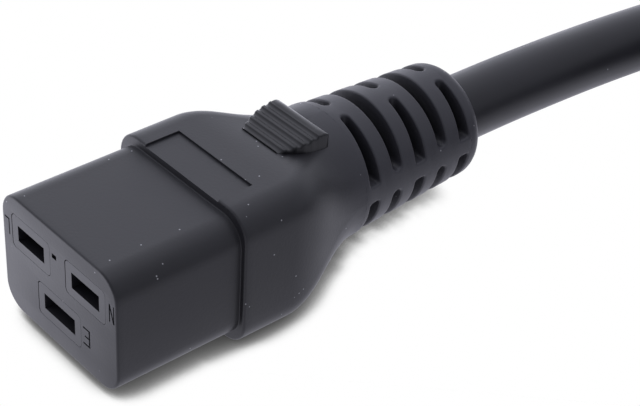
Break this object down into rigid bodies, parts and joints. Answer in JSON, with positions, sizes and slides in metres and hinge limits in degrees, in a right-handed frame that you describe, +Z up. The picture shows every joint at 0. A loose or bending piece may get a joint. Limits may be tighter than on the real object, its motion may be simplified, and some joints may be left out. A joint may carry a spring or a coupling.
{
  "type": "c19 power connector",
  "caption": "Black moulded mains connector with flat slots in its mating face, a ribbed thumb grip and a slotted strain relief, on a coiled lead with a shrouded plug.",
  "frame": {"origin": "centre of the mating face of the engagement block", "axes": "+Y from the mating face back along the connector to its lead, +Z up through the thumb grip, +X to the right seen from the mating face"},
  "size_m": [0.1593, 0.243, 0.0247],
  "materials": {
    "black_pvc": "satin moulded PVC",
    "black_insert": "satin hard insert",
    "inner_pvc": "matte",
    "cord_jacket": "satin PVC jacket",
    "brown_core": "smooth",
    "blue_core": "smooth",
    "green_yellow_core": "smooth, striped",
    "contact_brass": "pressed sheet",
    "plated_pin": "nickel-plated",
    "copper": "stranded copper"
  },
  "bodies": {
    "root": {"connector_overmould": "black_pvc", "contact_carrier": "black_insert", "inner_moulding": "inner_pvc", "jacket_end": "cord_jacket", "cord_tube": "cord_jacket", "cord_coil": "cord_jacket", "cord_tail": "cord_jacket", "plug_overmould": "black_pvc", "plug_pin_carrier": "black_insert", "plug_inner_moulding": "inner_pvc", "plug_jacket_end": "cord_jacket", "line_contact": "contact_brass", "line_core": "brown_core", "line_conductor": "copper", "plug_line_pin": "plated_pin", "plug_line_core": "brown_core", "plug_line_conductor": "copper", "neutral_contact": "contact_brass", "neutral_core": "blue_core", "neutral_conductor": "copper", "plug_neutral_pin": "plated_pin", "plug_neutral_core": "blue_core", "plug_neutral_conductor": "copper", "earth_contact": "contact_brass", "earth_core": "green_yellow_core", "earth_conductor": "copper", "plug_earth_pin": "plated_pin", "plug_earth_core": "green_yellow_core", "plug_earth_conductor": "copper"}
  },
  "joints": []
}
